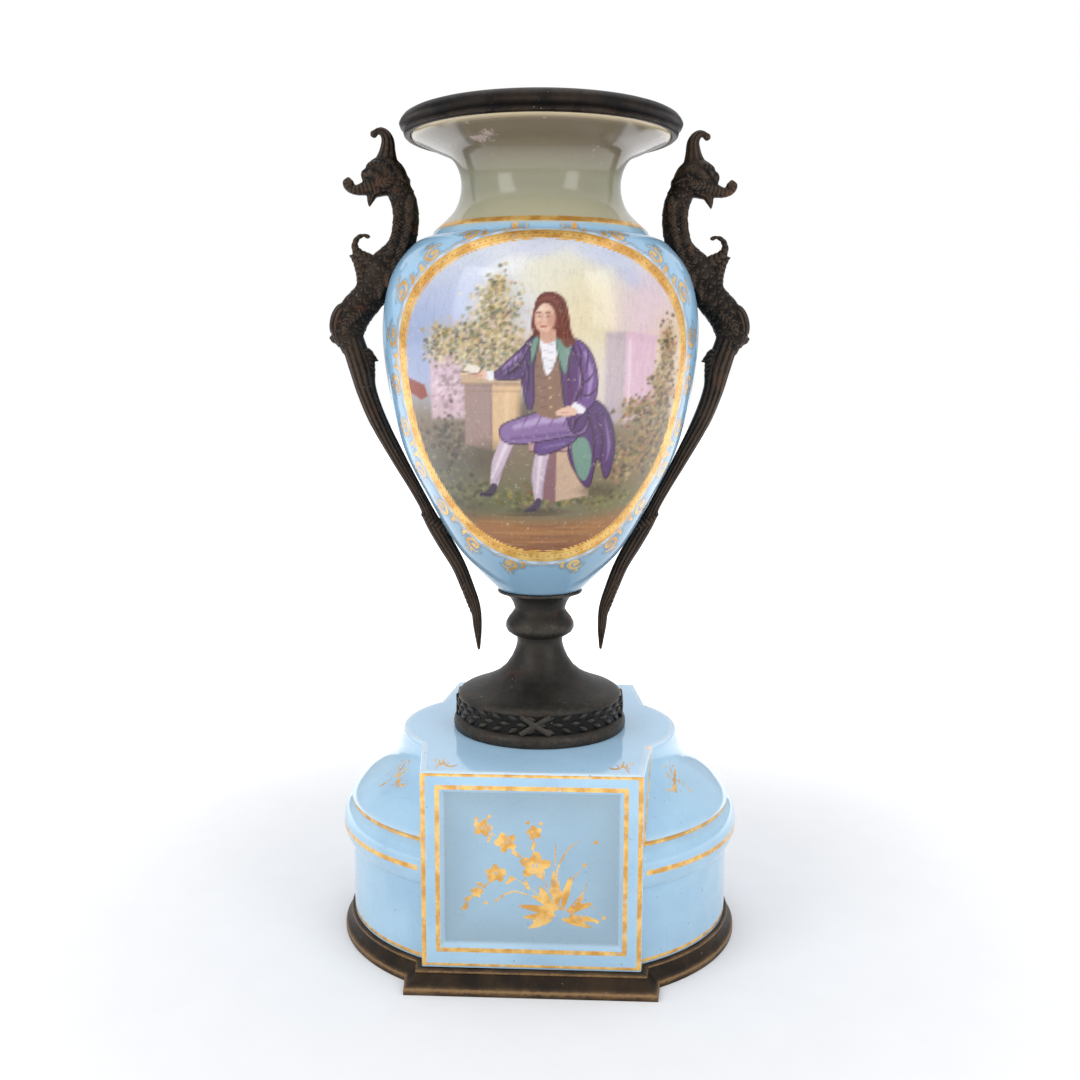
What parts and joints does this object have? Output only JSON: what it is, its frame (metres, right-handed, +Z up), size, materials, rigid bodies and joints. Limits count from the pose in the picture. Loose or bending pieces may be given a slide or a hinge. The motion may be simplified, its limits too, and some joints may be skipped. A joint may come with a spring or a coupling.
{
  "type": "mantel urn",
  "caption": "Ovoid painted porcelain urn with cast bronze rim, foot and dragon scroll handles, on a lobed porcelain plinth with a bronze base moulding.",
  "frame": {"origin": "on the ground under the middle of the plinth", "axes": "+Z up along the vase's axis, -Y the painted front with the plinth's panel, +X to the right seen from the front"},
  "size_m": [0.2458, 0.2018, 0.48],
  "materials": {
    "vase_porcelain": "glossy glaze, painted and gilded",
    "plinth_porcelain": "glossy glaze with gilt lines",
    "dark_bronze": "dark patina, satin",
    "brown_bronze": "worn brown patina, satin"
  },
  "bodies": {
    "root": {"vase": "vase_porcelain", "rim_ring": "dark_bronze", "handle_right": "dark_bronze", "handle_left": "dark_bronze", "foot": "dark_bronze", "plinth": "plinth_porcelain", "base_moulding": "brown_bronze"}
  },
  "joints": []
}
